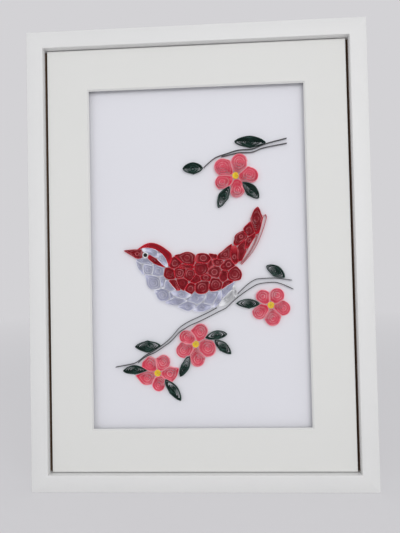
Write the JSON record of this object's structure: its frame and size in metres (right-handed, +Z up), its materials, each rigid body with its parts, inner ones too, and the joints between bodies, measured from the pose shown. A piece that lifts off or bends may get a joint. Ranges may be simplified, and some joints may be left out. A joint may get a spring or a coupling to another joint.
{
  "type": "framed quilled paper picture",
  "caption": "Framed quilled paper picture of a red and lavender bird on a flowering branch, with paper coils on white card behind a wide white mat in a plain white frame.",
  "frame": {"origin": "under the middle of the frame, on the plane that the bottom rail stands on", "axes": "+Z up the picture, +X to the right as it is looked at, the picture faces -Y"},
  "size_m": [0.335, 0.025, 0.455],
  "materials": {
    "paper_red": "matte coloured paper strip",
    "paper_lavender": "matte coloured paper strip",
    "paper_white": "matte white paper strip",
    "paper_black": "matte black paper strip",
    "paper_pink": "matte coloured paper strip",
    "paper_yellow": "matte coloured paper strip",
    "paper_green": "matte coloured paper strip",
    "paper_grey": "matte dark grey paper strip",
    "frame_white": "satin white paint",
    "mat_white": "matte white mat board",
    "card_white": "matte white card",
    "foam_white": "white foam strip",
    "hardboard": "plain brown hardboard",
    "steel": "bare steel",
    "brass_plate": "plated steel"
  },
  "bodies": {
    "root": {"beak": "paper_red", "cheek": "paper_red", "head_cap": "paper_red", "wing_coils": "paper_red", "back_coils": "paper_red", "rump_coils": "paper_red", "tail_coils": "paper_red", "tail_tip": "paper_red", "tail_loop_inner": "paper_red", "tail_loop_outer": "paper_red", "brow_front": "paper_lavender", "brow_rear": "paper_lavender", "throat_coils": "paper_lavender", "breast_coils": "paper_lavender", "belly_coils": "paper_lavender", "vent_coils": "paper_white", "eye_ring": "paper_white", "eye": "paper_black", "petals_top": "paper_pink", "petals_right": "paper_pink", "petals_middle": "paper_pink", "petals_left": "paper_pink", "core_top": "paper_yellow", "core_right": "paper_yellow", "core_middle": "paper_yellow", "core_left": "paper_yellow", "leaf_01": "paper_green", "leaf_02": "paper_green", "leaf_03": "paper_green", "leaf_04": "paper_green", "leaf_05": "paper_green", "leaf_06": "paper_green", "leaf_07": "paper_green", "leaf_08": "paper_green", "leaf_09": "paper_green", "leaf_10": "paper_green", "leaf_11": "paper_green", "leaf_12": "paper_green", "upper_branch_top": "paper_grey", "upper_branch_low": "paper_grey", "lower_branch_left": "paper_grey", "lower_branch_low": "paper_grey", "lower_branch_right": "paper_grey", "top_rail": "frame_white", "bottom_rail": "frame_white", "left_rail": "frame_white", "right_rail": "frame_white", "mat_board": "mat_white", "backing_card": "card_white", "top_spacer": "foam_white", "bottom_spacer": "foam_white", "left_spacer": "foam_white", "right_spacer": "foam_white", "back_board": "hardboard", "corner_keys": "steel", "retainer_points": "steel", "sawtooth_hanger": "brass_plate", "hanger_nails": "brass_plate"}
  },
  "joints": []
}
